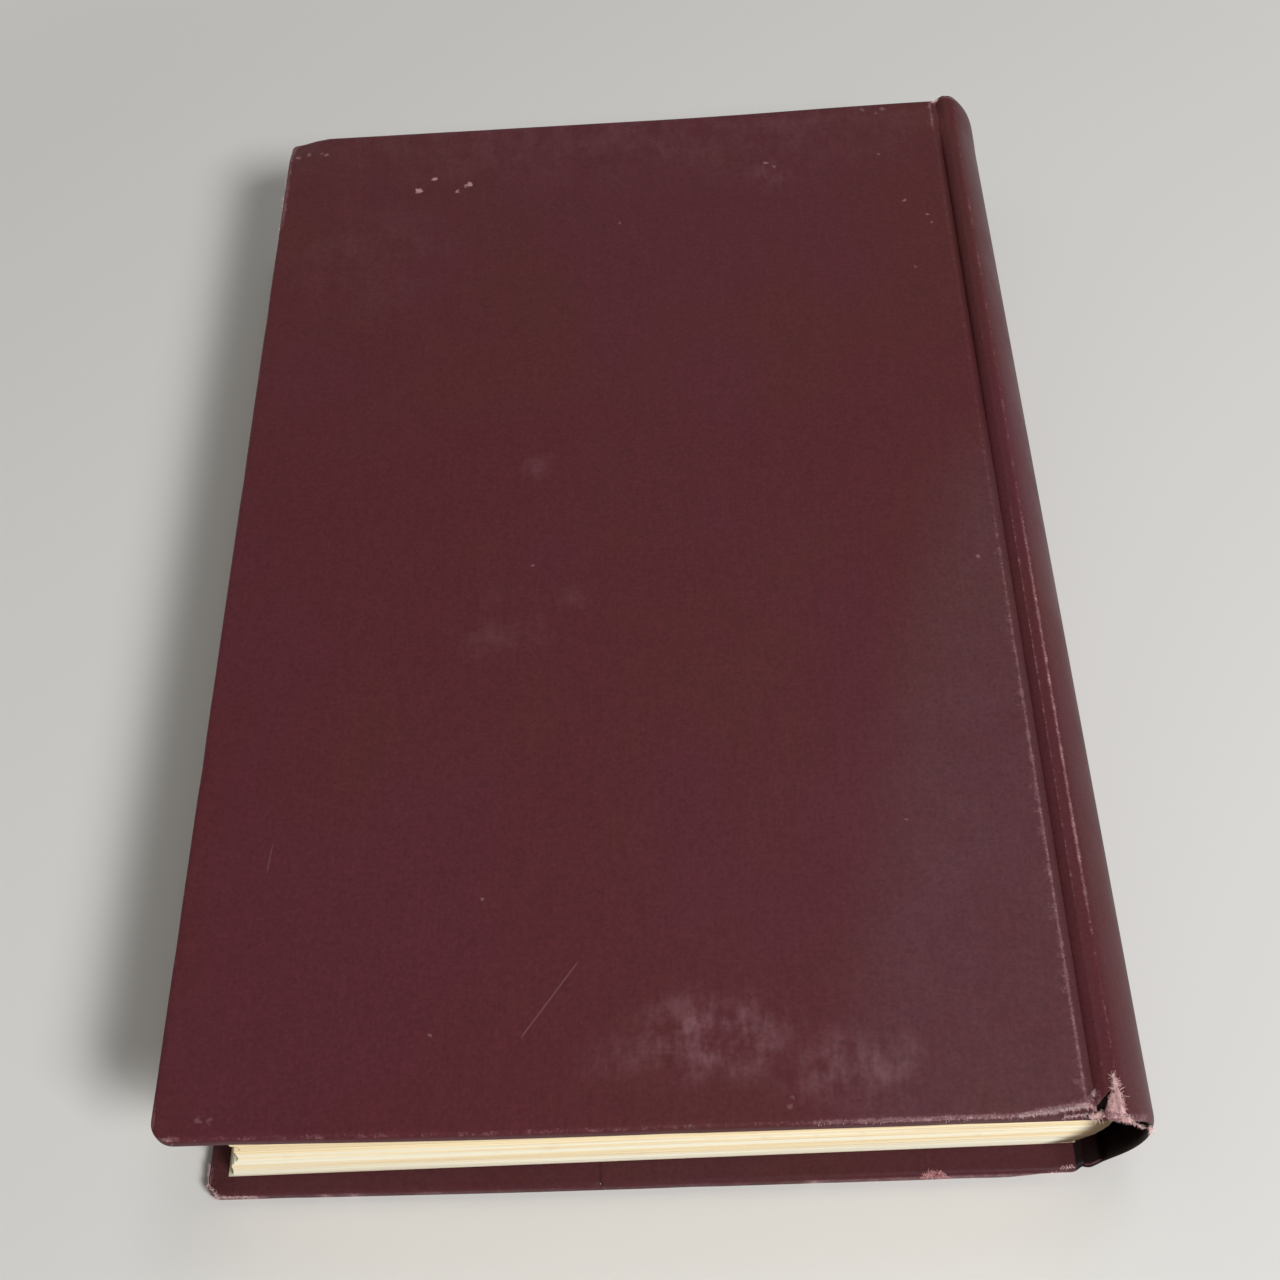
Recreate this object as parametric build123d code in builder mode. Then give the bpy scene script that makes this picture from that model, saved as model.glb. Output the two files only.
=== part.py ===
import os

from build123d import *

# A case-bound octavo lying on its front cover, back cover up.
# X runs from the fore-edge to the spine, Y from the tail to the head, Z up.
# The origin is the centre of the book's box, on the surface that it lies on.
# All sizes are in millimetres.

# Case: two boards covered in cloth, and a rounded hollow spine
cover_height = 235.0
cover_width = 146.4
board_thickness = 2.5
cloth_thickness = 0.35
turn_in_width = 5.0
edge_softness = 0.5
cover_lean = 2.0  # the front cover stands this far towards the spine
joint_width = 5.2  # from a cover's spine edge to the ridge of the spine
joint_floor_width = 1.9
ridge_drop = 0.3  # the ridges lie this far inside the covers' outer faces
joint_softness = 0.6
ridge_softness = 0.9
spine_round_head = 4.8
spine_round_tail = 6.9  # the spine stands further off at its tail
inlay_thickness = 0.6
inlay_margin = 2.4
inlay_end_margin = 5.0  # the card stops this far from head and tail

# Worn corners at the fore-edge, and the tear at the tail of the back joint
back_head_corner = 1.3
back_tail_corner = 3.6
front_head_corner = 2.0
front_tail_corner = 2.0
tear_width = 1.8
tear_length = 5.0

# Book block: the sewn pages, the endpapers and the lining on their back
page_stack = 24.1
page_square = 3.5  # the covers overhang the pages at head and tail
fore_square = 5.7
shoulder_inset = 1.1
fore_hollow = 3.7
back_round = 7.2
paper_thickness = 0.2
lining_thickness = 0.5
lining_margin = 14.0
lining_inset = 1.0

# Clearances
cover_gap = 0.05  # a closed cover and the endpaper under it
hinge_gap = 0.35  # a cover's spine edge and the cloth of its joint
glue_gap = 0.05  # a curved lining and what it is glued to

# Heights
cover_thickness = board_thickness + 2 * cloth_thickness
pages_bottom = cover_thickness + cover_gap + paper_thickness
pages_top = pages_bottom + page_stack
pages_middle = (pages_bottom + pages_top) / 2
book_thickness = pages_top + paper_thickness + cover_gap + cover_thickness

# Places along X
book_width = cover_width + joint_width + cover_lean / 2 + spine_round_tail
back_fore_x = -book_width / 2
front_fore_x = back_fore_x + cover_lean
back_spine_x = back_fore_x + cover_width
front_spine_x = front_fore_x + cover_width
back_ridge_x = back_spine_x + joint_width
front_ridge_x = front_spine_x + joint_width
middle_fore_x = (back_fore_x + front_fore_x) / 2
middle_spine_x = (back_spine_x + front_spine_x) / 2

# Places along Y
tail_plane = Plane.XZ.offset(cover_height / 2)
head_plane = Plane.XZ.offset(-cover_height / 2)
page_height = cover_height - 2 * page_square


def spine_arc(spine_round):
    return ThreePointArc(
        (back_ridge_x, book_thickness - ridge_drop),
        (middle_spine_x + joint_width + spine_round, book_thickness / 2),
        (front_ridge_x, ridge_drop),
        mode=Mode.PRIVATE,
    )


# From a cover's spine edge down into the joint and up to the ridge
def joint_points(spine_x, outer_z, inward):
    wall_x = spine_x + hinge_gap + cloth_thickness
    floor_z = outer_z + inward * (cover_thickness + cover_gap - cloth_thickness)
    ridge_z = outer_z + inward * ridge_drop
    return [
        (wall_x, ridge_z),
        (wall_x, floor_z),
        (wall_x + joint_floor_width, floor_z),
        (spine_x + joint_width, ridge_z),
    ]


def spine_cloth_section(plane, spine_round):
    with BuildSketch(plane) as section:
        with BuildLine() as outside:
            arc = spine_arc(spine_round)
            FilletPolyline(*joint_points(back_spine_x, book_thickness, -1), radius=joint_softness)
            add(arc)
            FilletPolyline(*reversed(joint_points(front_spine_x, 0, 1)), radius=joint_softness)
            ridges = [outside.vertices().sort_by_distance(end)[0] for end in (arc @ 0, arc @ 1)]
            fillet(ridges, ridge_softness)
            offset(amount=cloth_thickness, side=Side.RIGHT)
        make_face()
    return section.sketch


def spine_inlay_section(plane, spine_round):
    with BuildSketch(plane) as section:
        with BuildLine():
            offset(spine_arc(spine_round), cloth_thickness + glue_gap, side=Side.RIGHT, closed=False)
            offset(amount=inlay_thickness, side=Side.RIGHT)
        make_face()
        with Locations((middle_spine_x, book_thickness / 2)):
            Rectangle(book_width, book_thickness - 2 * inlay_margin, mode=Mode.INTERSECT)
    return section.sketch


def back_of_pages():
    return ThreePointArc(
        (front_spine_x - shoulder_inset, pages_bottom),
        (middle_spine_x - shoulder_inset + back_round, pages_middle),
        (back_spine_x - shoulder_inset, pages_top),
        mode=Mode.PRIVATE,
    )


# A cover's outline, drawn in from its edges, on the plane at the height given
def cover_outline(height, fore_x, inset, head_corner, tail_corner):
    reach_y = cover_height / 2 - inset
    with BuildSketch(Plane.XY.offset(height)) as outline:
        with BuildLine():
            Polyline(
                (fore_x + cover_width, -reach_y),
                (fore_x + cover_width, reach_y),
                (fore_x + inset, reach_y),
                (fore_x + inset, -reach_y),
                close=True,
            )
        make_face()
        fore_corners = outline.vertices().group_by(Axis.X)[0].sort_by(Axis.Y)
        fillet(fore_corners[0], tail_corner - inset)
        fillet(fore_corners[1], head_corner - inset)
    return outline.sketch


os.makedirs("parts", exist_ok=True)

# Pages, rounded at the back and hollow at the fore-edge
with BuildPart() as text_block:
    with BuildSketch(Plane.XZ):
        with BuildLine():
            back_edge = back_of_pages()
            add(back_edge)
            fore_edge = ThreePointArc(
                (back_fore_x + fore_square, pages_top),
                (middle_fore_x + fore_square + fore_hollow, pages_middle),
                (front_fore_x + fore_square, pages_bottom),
            )
            Line(back_edge @ 1, fore_edge @ 0)
            Line(fore_edge @ 1, back_edge @ 0)
        make_face()
    extrude(amount=page_height / 2, both=True)
text_block.part.label = "text_block"
export_step(text_block.part, "parts/text_block.step")

# Lining glued to the back of the pages
with BuildPart() as spine_lining:
    with BuildSketch(Plane.XZ):
        with BuildLine():
            offset(back_of_pages(), glue_gap, side=Side.RIGHT, closed=False)
            offset(amount=lining_thickness, side=Side.RIGHT)
        make_face()
        with Locations((middle_spine_x, pages_middle)):
            Rectangle(book_width, page_stack - 2 * lining_inset, mode=Mode.INTERSECT)
    extrude(amount=page_height / 2 - lining_margin, both=True)
spine_lining.part.label = "spine_lining"
export_step(spine_lining.part, "parts/spine_lining.step")

# Spine cloth with the two joints, from the tail to the head
with BuildPart() as spine_cloth:
    loft([
        spine_cloth_section(tail_plane, spine_round_tail),
        spine_cloth_section(head_plane, spine_round_head),
    ], ruled=True)
    with BuildSketch(Plane.XY.offset(book_thickness)):
        with BuildLine():
            Polyline(
                (back_ridge_x - tear_width, -cover_height / 2),
                (back_ridge_x - tear_width, -cover_height / 2 + tear_length),
                (back_ridge_x, -cover_height / 2),
                close=True,
            )
        make_face()
    extrude(amount=-cover_thickness, mode=Mode.SUBTRACT)
spine_cloth.part.label = "spine_cloth"
export_step(spine_cloth.part, "parts/spine_cloth.step")

# Card glued inside the spine cloth
with BuildPart() as spine_inlay:
    loft([
        spine_inlay_section(tail_plane, spine_round_tail),
        spine_inlay_section(head_plane, spine_round_head),
    ], ruled=True)
    Box(2 * book_width, cover_height - 2 * inlay_end_margin, 2 * book_thickness, mode=Mode.INTERSECT)
spine_inlay.part.label = "spine_inlay"
export_step(spine_inlay.part, "parts/spine_inlay.step")

# The two covers, each with its endpaper: one half on its board, one half on the pages.
# Each row holds the fore-edge, the outer face, the way inward and the head and tail corners.
covers = {
    "back": (back_fore_x, book_thickness, -1, back_head_corner, back_tail_corner),
    "front": (front_fore_x, 0.0, 1, front_head_corner, front_tail_corner),
}
for side, (fore_x, outer_z, inward, head_corner, tail_corner) in covers.items():
    spine_x = fore_x + cover_width
    board_z = outer_z + inward * cloth_thickness
    lining_z = board_z + inward * board_thickness
    inner_z = outer_z + inward * cover_thickness

    with BuildPart() as board:
        extrude(
            cover_outline(board_z, fore_x, cloth_thickness, head_corner, tail_corner),
            amount=inward * board_thickness,
        )
    board.part.label = f"{side}_board"
    export_step(board.part, f"parts/{side}_board.step")

    with BuildPart() as cover_cloth:
        extrude(
            cover_outline(outer_z, fore_x, 0, head_corner, tail_corner),
            amount=inward * cover_thickness,
        )
        rims = cover_cloth.edges().filter_by_position(Axis.Z, *sorted((outer_z, inner_z)))
        level_rims = rims.filter_by(lambda edge: edge.bounding_box().size.Z < edge_softness)
        fillet(level_rims.filter_by(lambda edge: edge.center().X < spine_x - edge_softness), edge_softness)
        extrude(
            cover_outline(board_z, fore_x, cloth_thickness, head_corner, tail_corner),
            amount=inward * board_thickness,
            mode=Mode.SUBTRACT,
        )
        with BuildSketch(Plane.XY.offset(lining_z)):
            with Locations((spine_x, 0)):
                Rectangle(
                    cover_width - turn_in_width,
                    cover_height - 2 * turn_in_width,
                    align=(Align.MAX, Align.CENTER),
                )
        extrude(amount=inward * cloth_thickness, mode=Mode.SUBTRACT)
    cover_cloth.part.label = f"{side}_cover_cloth"
    export_step(cover_cloth.part, f"parts/{side}_cover_cloth.step")

    with BuildPart() as pastedown:
        with BuildSketch(Plane.XY.offset(lining_z)):
            with Locations((spine_x, 0)):
                Rectangle(
                    cover_width - turn_in_width,
                    cover_height - 2 * turn_in_width,
                    align=(Align.MAX, Align.CENTER),
                )
        extrude(amount=inward * paper_thickness)
    pastedown.part.label = f"{side}_pastedown"
    export_step(pastedown.part, f"parts/{side}_pastedown.step")

    # The free half reaches past the shoulder of the pages, under the floor of the joint
    with BuildPart() as endpaper:
        with BuildSketch(Plane.XY.offset(inner_z + inward * cover_gap)):
            with Locations((fore_x + fore_square, 0)):
                Rectangle(
                    cover_width - fore_square + hinge_gap + joint_floor_width,
                    page_height,
                    align=(Align.MIN, Align.CENTER),
                )
        extrude(amount=inward * paper_thickness)
    endpaper.part.label = f"{side}_endpaper"
    export_step(endpaper.part, f"parts/{side}_endpaper.step")
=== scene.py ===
import math
import random

import bmesh
import bpy
from mathutils import Matrix, Quaternion, Vector, noise


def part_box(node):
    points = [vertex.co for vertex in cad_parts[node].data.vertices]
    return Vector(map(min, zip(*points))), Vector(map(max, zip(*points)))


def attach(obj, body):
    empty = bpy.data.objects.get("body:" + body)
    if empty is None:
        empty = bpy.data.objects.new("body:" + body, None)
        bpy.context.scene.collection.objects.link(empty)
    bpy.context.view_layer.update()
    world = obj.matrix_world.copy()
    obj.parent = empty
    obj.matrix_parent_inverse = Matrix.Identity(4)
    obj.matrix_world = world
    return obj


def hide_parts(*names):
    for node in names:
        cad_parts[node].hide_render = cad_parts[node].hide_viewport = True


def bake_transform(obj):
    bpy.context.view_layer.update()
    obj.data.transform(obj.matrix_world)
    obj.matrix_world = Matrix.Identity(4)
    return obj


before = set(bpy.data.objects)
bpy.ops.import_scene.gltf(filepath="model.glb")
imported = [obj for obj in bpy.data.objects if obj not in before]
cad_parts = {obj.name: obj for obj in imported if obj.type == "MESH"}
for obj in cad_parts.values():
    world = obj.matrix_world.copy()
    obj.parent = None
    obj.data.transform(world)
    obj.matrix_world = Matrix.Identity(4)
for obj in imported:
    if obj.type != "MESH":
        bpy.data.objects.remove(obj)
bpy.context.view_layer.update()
mm = 0.001  # shapes are worked out in millimetres and scaled when they become pieces
tiny = 0.001


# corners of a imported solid, in millimetres
def placesOf(node):
    low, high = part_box(node)
    return low / mm, high / mm


backLow, backHigh = placesOf("back_cover_cloth")
frontLow, frontHigh = placesOf("front_cover_cloth")
pagesLow, pagesHigh = placesOf("text_block")
coverWidth = backHigh.x - backLow.x
coverReach = backHigh.y
bookThick = backHigh.z


# a smooth rise from 0 at the start to 1 at the end
def ease(value, start, end):
    share = min(max((value - start) / (end - start), 0.0), 1.0)
    return share * share * (3 - 2 * share)


def mix(first, second, share):
    return first + (second - first) * share


# Materials

def setSocket(tree, socket, value):
    if isinstance(value, bpy.types.NodeSocket):
        tree.links.new(value, socket)
    else:
        socket.default_value = value


def addNode(tree, kind, sockets=None, **settings):
    made = tree.nodes.new(kind)
    for key, value in settings.items():
        setattr(made, key, value)
    for key, value in (sockets or {}).items():
        setSocket(tree, made.inputs[key], value)
    return made


def calc(tree, operation, *values):
    return addNode(tree, "ShaderNodeMath", dict(enumerate(values)), operation=operation).outputs[0]


def plus(tree, total, *others):
    for other in others:
        total = calc(tree, "ADD", total, other)
    return total


def times(tree, total, *others):
    for other in others:
        total = calc(tree, "MULTIPLY", total, other)
    return total


def vectorCalc(tree, operation, *values):
    made = addNode(tree, "ShaderNodeVectorMath", dict(enumerate(values)), operation=operation)
    return made.outputs["Value" if operation in ("DISTANCE", "DOT_PRODUCT", "LENGTH") else "Vector"]


def grain(tree, vector, scale, detail=2.0, rough=0.5, output=0):
    sockets = {"Vector": vector, "Scale": scale, "Detail": detail, "Roughness": rough}
    return addNode(tree, "ShaderNodeTexNoise", sockets).outputs[output]


def ramp(tree, value, start, end, low=0.0, high=1.0):
    sockets = {"Value": value, "From Min": start, "From Max": end, "To Min": low, "To Max": high}
    return addNode(tree, "ShaderNodeMapRange", sockets, interpolation_type="SMOOTHSTEP").outputs[0]


# A pattern's dictionary: scale, detail and roughness of its noise, and where it has them,
# how it is stretched, the range that is used, with what this becomes, and its share in a sum.
def pattern(tree, vector, look):
    if "stretch" in look:
        vector = vectorCalc(tree, "MULTIPLY", vector, look["stretch"])
    value = grain(tree, vector, *look["noise"])
    if "range" in look:
        value = ramp(tree, value, *look["range"])
    return times(tree, value, look["share"]) if "share" in look else value


def opaque(color):
    return (*color, 1.0)


def blendColor(tree, share, first, second, how="MIX"):
    first, second = [opaque(color) if isinstance(color, tuple) else color for color in (first, second)]
    made = addNode(tree, "ShaderNodeMix", {0: share, 6: first, 7: second}, data_type="RGBA", blend_type=how)
    return made.outputs[2]


def attribute(tree, name, output="Fac"):
    return addNode(tree, "ShaderNodeAttribute", attribute_name=name).outputs[output]


# places on an object, in millimetres
def objectPlace(tree):
    place = addNode(tree, "ShaderNodeTexCoord").outputs["Object"]
    return vectorCalc(tree, "MULTIPLY", place, (1 / mm, 1 / mm, 1 / mm))


def startMaterial(name):
    material = bpy.data.materials.new(name)
    material.use_nodes = True
    return material, material.node_tree, material.node_tree.nodes["Principled BSDF"]


def finishShader(tree, shader, color, roughness, specular=0.2):
    setSocket(tree, shader.inputs["Base Color"], color)
    setSocket(tree, shader.inputs["Roughness"], roughness)
    shader.inputs["Specular IOR Level"].default_value = specular


def addBump(tree, shader, height, strength, depth):
    sockets = {"Height": height, "Strength": strength, "Distance": depth * mm}
    tree.links.new(addNode(tree, "ShaderNodeBump", sockets).outputs[0], shader.inputs["Normal"])


bookCloth = {
    "maroon": (0.0745, 0.0154, 0.0197),
    "brown": (0.0745, 0.0179, 0.0182),
    "purple": (0.0745, 0.0159, 0.0237),
    "faded": (0.1400, 0.0570, 0.0650),
    # the tone of dust, also used for painted sheen and painted light
    "dustAndLightTone": (0.0950, 0.0530, 0.0600),
    "rubbed": (0.1900, 0.0950, 0.1020),
    "bare": (0.4900, 0.3000, 0.2980),
    "roughness": 0.46,
    "specular": 0.10,
    # the dye
    "clouds": {"noise": (0.016, 6.0, 0.6), "range": (0.38, 0.62)},
    "tint": {"noise": (0.023, 2.0), "stretch": (1.0, 0.7, 1.0), "range": (0.42, 0.66, 0.0, 0.7)},
    "streaks": {"noise": (0.5, 4.0, 0.6), "stretch": (1.0, 0.25, 1.0), "range": (0.3, 0.7, 0.975, 1.025)},
    # threads along the height and across the width of the cloth
    "warp": {"noise": (1.0, 2.0), "stretch": (2.3, 0.09, 1.0), "share": 0.18},
    "weft": {"noise": (1.0, 2.0), "stretch": (0.09, 2.3, 1.0), "share": 0.12},
    "fuzz": {"noise": (1.5, 3.0, 0.6), "share": 0.8},
    "threadTone": 0.45,
    # dust and faded places, painted sheen and painted light mixed in with the dust, and painted shade
    "mist": {"noise": (0.13, 4.0, 0.6), "share": 0.7},
    "mistThreads": {"noise": (0.6, 3.0), "stretch": (1.0, 0.3, 1.0), "share": 0.3},
    "hazeRange": (0.4, 0.64, 0.0, 1.3),
    "dustAndLightRange": (0.3, 0.7, 0.75, 1.25),
    "shadeDarkness": 0.93,
    # rubbed edges and nicks show the undyed threads
    "crumbs": {"noise": (0.45, 3.0), "share": 0.45},
    "fineCrumbs": {"noise": (2.2, 3.0, 0.6), "share": 0.55},
    "wearLimit": 0.86, "wearGain": 0.55,
    # wear shows less where painted shade lies
    "wornRange": (0.02, 0.25), "unshadedRange": (0.6, 0.3),
    "rubbedRange": (-0.2, 0.05, 0.0, 0.8), "bareRange": (0.03, 0.2),
    "bareShare": 0.85, "bareRough": 0.3, "bareLift": 0.5,
    "gloss": {"noise": (0.05, 3.0), "range": (0.3, 0.7, -0.05, 0.05)},
    "bump": (0.45, 0.12),  # strength and depth
    # white nicks on the back cover: place, radius and strength
    "nicks": [
        (-49.0, 97.7, 1.05, 0.85), (-45.8, 101.2, 0.65, 0.7), (-45.3, 101.5, 0.5, 0.6),
        (-40.4, 96.8, 0.75, 0.65), (-37.6, 99.0, 0.85, 0.8), (-38.5, 98.4, 0.6, 0.6),
        (-4.1, 83.8, 0.5, 0.25), (28.5, 100.5, 0.6, 0.35), (30.4, 99.2, 0.5, 0.2),
        (53.7, 101.3, 0.4, 0.3), (58.2, 86.0, 0.55, 0.45), (62.4, 81.5, 0.45, 0.45),
        (63.2, 79.0, 0.45, 0.35), (58.4, 65.7, 0.4, 0.2), (-21.2, -8.2, 0.5, 0.3),
        (62.5, -11.0, 0.6, 0.3), (-72.0, -114.2, 0.7, 0.14), (-70.2, -114.4, 0.6, 0.11),
        (-28.3, -77.7, 0.4, 0.25), (44.0, -65.7, 0.4, 0.2), (21.2, -115.0, 0.6, 0.16),
        (21.7, -113.8, 0.5, 0.14), (-35.8, -101.5, 0.35, 0.2), (51.4, 116.6, 0.7, 0.18),
        (55.9, 116.4, 0.8, 0.22), (54.3, 115.1, 0.5, 0.14), (-77.7, 111.3, 0.9, 0.35),
        (-75.2, 112.2, 0.7, 0.3), (-71.0, 111.5, 0.6, 0.35), (-72.4, 111.9, 0.5, 0.2),
    ],
    "nickNoise": (1.1, 3.0), "nickShake": (1.6, 1.6, 0.0), "nickCore": 0.4,
    # thin scratches: start, end, width and strength
    "scratches": [
        ((-21.4, -102.8), (-11.5, -88.9), 0.17, 0.16),
        ((-65.6, -71.5), (-65.0, -64.5), 0.2, 0.1),
    ],
    "scratchCore": 0.3, "scratchStart": 1.5, "scratchEnd": 2.5, "scratchDepth": (1.5, 1.0),
}


def nickMask(tree, place):
    look = bookCloth
    wobble = grain(tree, place, *look["nickNoise"], output=1)
    wobble = vectorCalc(tree, "SUBTRACT", wobble, (0.5, 0.5, 0.5))
    shaken = vectorCalc(tree, "MULTIPLY_ADD", wobble, look["nickShake"], place)
    total = 0.0
    for x, y, radius, strength in look["nicks"]:
        gap = vectorCalc(tree, "DISTANCE", shaken, (x, y, bookThick))
        total = plus(tree, total, ramp(tree, gap, radius, radius * look["nickCore"], 0.0, strength))
    for start, end, width, strength in look["scratches"]:
        first = Vector((*start, bookThick))
        along = Vector((*end, bookThick)) - first
        length, heading = along.length, along.normalized()
        away = vectorCalc(tree, "SUBTRACT", place, first)
        run = vectorCalc(tree, "DOT_PRODUCT", away, heading)
        across = vectorCalc(tree, "DOT_PRODUCT", away, (-heading.y, heading.x, 0))
        lift = vectorCalc(tree, "DOT_PRODUCT", away, (0, 0, 1))
        thin = ramp(tree, calc(tree, "ABSOLUTE", across), width, width * look["scratchCore"])
        begun = ramp(tree, run, 0.0, look["scratchStart"])
        ended = ramp(tree, run, length, length - look["scratchEnd"])
        level = ramp(tree, calc(tree, "ABSOLUTE", lift), *look["scratchDepth"])
        total = plus(tree, total, times(tree, thin, begun, ended, level, strength))
    return calc(tree, "MINIMUM", total, 1.0)


def makeBookCloth():
    look = bookCloth
    material, tree, shader = startMaterial("bookCloth")
    place, weave = attribute(tree, "restPlace", "Vector"), attribute(tree, "weave", "Vector")
    wear, fade, paintedShade, dustAndPaintedLight = [attribute(tree, name) for name in ("wear", "fade", "paintedShade", "dustAndPaintedLight")]
    color = blendColor(tree, pattern(tree, place, look["clouds"]), look["maroon"], look["brown"])
    color = blendColor(tree, pattern(tree, place, look["tint"]), color, look["purple"])

    mist = plus(tree, pattern(tree, place, look["mist"]), pattern(tree, weave, look["mistThreads"]))
    haze = times(tree, fade, ramp(tree, mist, *look["hazeRange"]))
    color = blendColor(tree, haze, color, look["faded"])
    # dust, with painted sheen on the back beside the spine and painted light on the spine's ridge and round
    dustAndLight = times(tree, dustAndPaintedLight, ramp(tree, mist, *look["dustAndLightRange"]))
    color = blendColor(tree, dustAndLight, color, look["dustAndLightTone"])
    threads = plus(tree, pattern(tree, weave, look["warp"]), pattern(tree, weave, look["weft"]),
                   pattern(tree, place, look["fuzz"]), look["threadTone"])
    # painted shade: darker in the hollow of the spine, in the joints' grooves and on the turned-in cloth
    unshaded = calc(tree, "SUBTRACT", 1.0, times(tree, paintedShade, look["shadeDarkness"]))
    tone = times(tree, threads, unshaded, pattern(tree, place, look["streaks"]))
    shade = addNode(tree, "ShaderNodeCombineColor", {0: tone, 1: tone, 2: tone}).outputs[0]
    color = blendColor(tree, 1.0, color, shade, "MULTIPLY")

    crumbs = plus(tree, pattern(tree, place, look["crumbs"]), pattern(tree, place, look["fineCrumbs"]))
    limit = calc(tree, "SUBTRACT", look["wearLimit"], times(tree, wear, look["wearGain"]))
    over = calc(tree, "SUBTRACT", crumbs, limit)
    # no wear shows under strong painted shade
    worn = times(tree, ramp(tree, wear, *look["wornRange"]), ramp(tree, paintedShade, *look["unshadedRange"]))
    rubbed = times(tree, ramp(tree, over, *look["rubbedRange"]), worn)
    bared = times(tree, ramp(tree, over, *look["bareRange"]), worn)
    bared = calc(tree, "MAXIMUM", bared, nickMask(tree, place))
    color = blendColor(tree, rubbed, color, look["rubbed"])
    color = blendColor(tree, times(tree, bared, look["bareShare"]), color, look["bare"])

    rough = plus(tree, look["roughness"], times(tree, bared, look["bareRough"]),
                 pattern(tree, place, look["gloss"]))
    finishShader(tree, shader, color, rough, look["specular"])
    addBump(tree, shader, plus(tree, threads, times(tree, bared, look["bareLift"])), *look["bump"])
    return material


pageEdges = {
    "light": (0.97, 0.81, 0.52),
    "dark": (0.74, 0.54, 0.31),
    "pale": (1.0, 0.96, 0.78),
    # glue stain with painted shade at the back of the pages, and a near black painted shadow
    "glueAndShade": (0.10, 0.06, 0.03),
    "paintedShadow": (0.010, 0.006, 0.005),
    "roughness": 0.75,
    "leaves": {"noise": (1.0, 3.0, 0.6), "stretch": (0.01, 0.01, 3.4)},
    "folds": {"noise": (1.0, 2.0), "stretch": (0.006, 0.006, 0.5), "range": (0.5, 0.62, 0.0, 0.8)},
    "spots": {"noise": (0.25, 3.0)},
    "leafRange": (0.3, 0.6), "spotRange": (0.6, 0.8, 0.0, 0.35), "paleRange": (0.25, 0.5),
    "spotGlue": 0.3, "glueAndShadeRange": (0.25, 1.15), "paintedShadowRange": (1.05, 1.6),
    "bump": (0.5, 0.1),
}


def makePageEdges():
    look = pageEdges
    material, tree, shader = startMaterial("pageEdges")
    place = attribute(tree, "restPlace", "Vector")
    glueAndShade, pale = attribute(tree, "glueAndShade"), attribute(tree, "pale")
    leaves, spots = pattern(tree, place, look["leaves"]), pattern(tree, place, look["spots"])
    color = blendColor(tree, ramp(tree, leaves, *look["leafRange"]), look["dark"], look["light"])
    color = blendColor(tree, pattern(tree, place, look["folds"]), color, look["pale"])
    color = blendColor(tree, ramp(tree, spots, *look["spotRange"]), color, look["dark"])
    color = blendColor(tree, times(tree, pale, ramp(tree, leaves, *look["paleRange"])), color, look["pale"])
    # glue stain and painted shade towards the back, and near black painted shadow in the upper back corner
    glueAndShadeAmount = plus(tree, glueAndShade, times(tree, spots, look["spotGlue"]))
    color = blendColor(tree, ramp(tree, glueAndShadeAmount, *look["glueAndShadeRange"]), color, look["glueAndShade"])
    color = blendColor(tree, ramp(tree, glueAndShade, *look["paintedShadowRange"]), color, look["paintedShadow"])
    finishShader(tree, shader, color, look["roughness"])
    addBump(tree, shader, leaves, *look["bump"])
    return material


endLeaf = {
    "light": (0.80, 0.70, 0.51),
    "toned": (0.71, 0.58, 0.38),
    "freckle": (0.42, 0.27, 0.13),
    # glue stain with painted gutter shade along the fold
    "glueAndShade": (0.16, 0.10, 0.055),
    "roughness": 0.8,
    "tones": {"noise": (0.02, 4.0), "range": (0.35, 0.75)},
    "freckles": {"noise": (0.33, 2.0), "range": (0.7, 0.78, 0.0, 0.5)},
    "fibres": {"noise": (1.8, 3.0)},
    "fibreRange": (0.3, 0.7, 0.0, 0.12), "glueAndShadeRange": (0.2, 0.6, 0.6, 1.0),
    "bump": (0.3, 0.05),
}


def makeEndLeaf():
    look = endLeaf
    material, tree, shader = startMaterial("endLeaf")
    place = attribute(tree, "restPlace", "Vector")
    fibres = pattern(tree, place, look["fibres"])
    color = blendColor(tree, pattern(tree, place, look["tones"]), look["light"], look["toned"])
    color = blendColor(tree, ramp(tree, fibres, *look["fibreRange"]), color, look["toned"])
    color = blendColor(tree, pattern(tree, place, look["freckles"]), color, look["freckle"])
    # glue stain with painted gutter shade along the fold
    glueAndShadeAmount = times(tree, attribute(tree, "glueAndShade"), ramp(tree, fibres, *look["glueAndShadeRange"]))
    color = blendColor(tree, glueAndShadeAmount, color, look["glueAndShade"])
    finishShader(tree, shader, color, look["roughness"])
    addBump(tree, shader, fibres, *look["bump"])
    return material


# binder's board, spine lining and spine card: pressed fibres in two tones; the spine card is near black, a
# painted shade for the hollow of the spine
cards = {
    "binderBoard": {"light": (0.40, 0.33, 0.24), "dark": (0.24, 0.19, 0.13), "flakes": (1.2, 4.0, 0.65)},
    "spineLining": {"light": (0.30, 0.21, 0.12), "dark": (0.16, 0.11, 0.06), "flakes": (0.9, 4.0, 0.65)},
    "spineCardPaintedShade": {"light": (0.10, 0.07, 0.05), "dark": (0.05, 0.035, 0.025), "flakes": (0.9, 4.0, 0.65)},
}
cardLook = {"range": (0.3, 0.7), "roughness": 0.85, "bump": (0.4, 0.1)}


def makeCard(name):
    look = cards[name]
    material, tree, shader = startMaterial(name)
    flakes = grain(tree, objectPlace(tree), *look["flakes"])
    color = blendColor(tree, ramp(tree, flakes, *cardLook["range"]), look["dark"], look["light"])
    finishShader(tree, shader, color, cardLook["roughness"])
    addBump(tree, shader, flakes, *cardLook["bump"])
    return material


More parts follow.
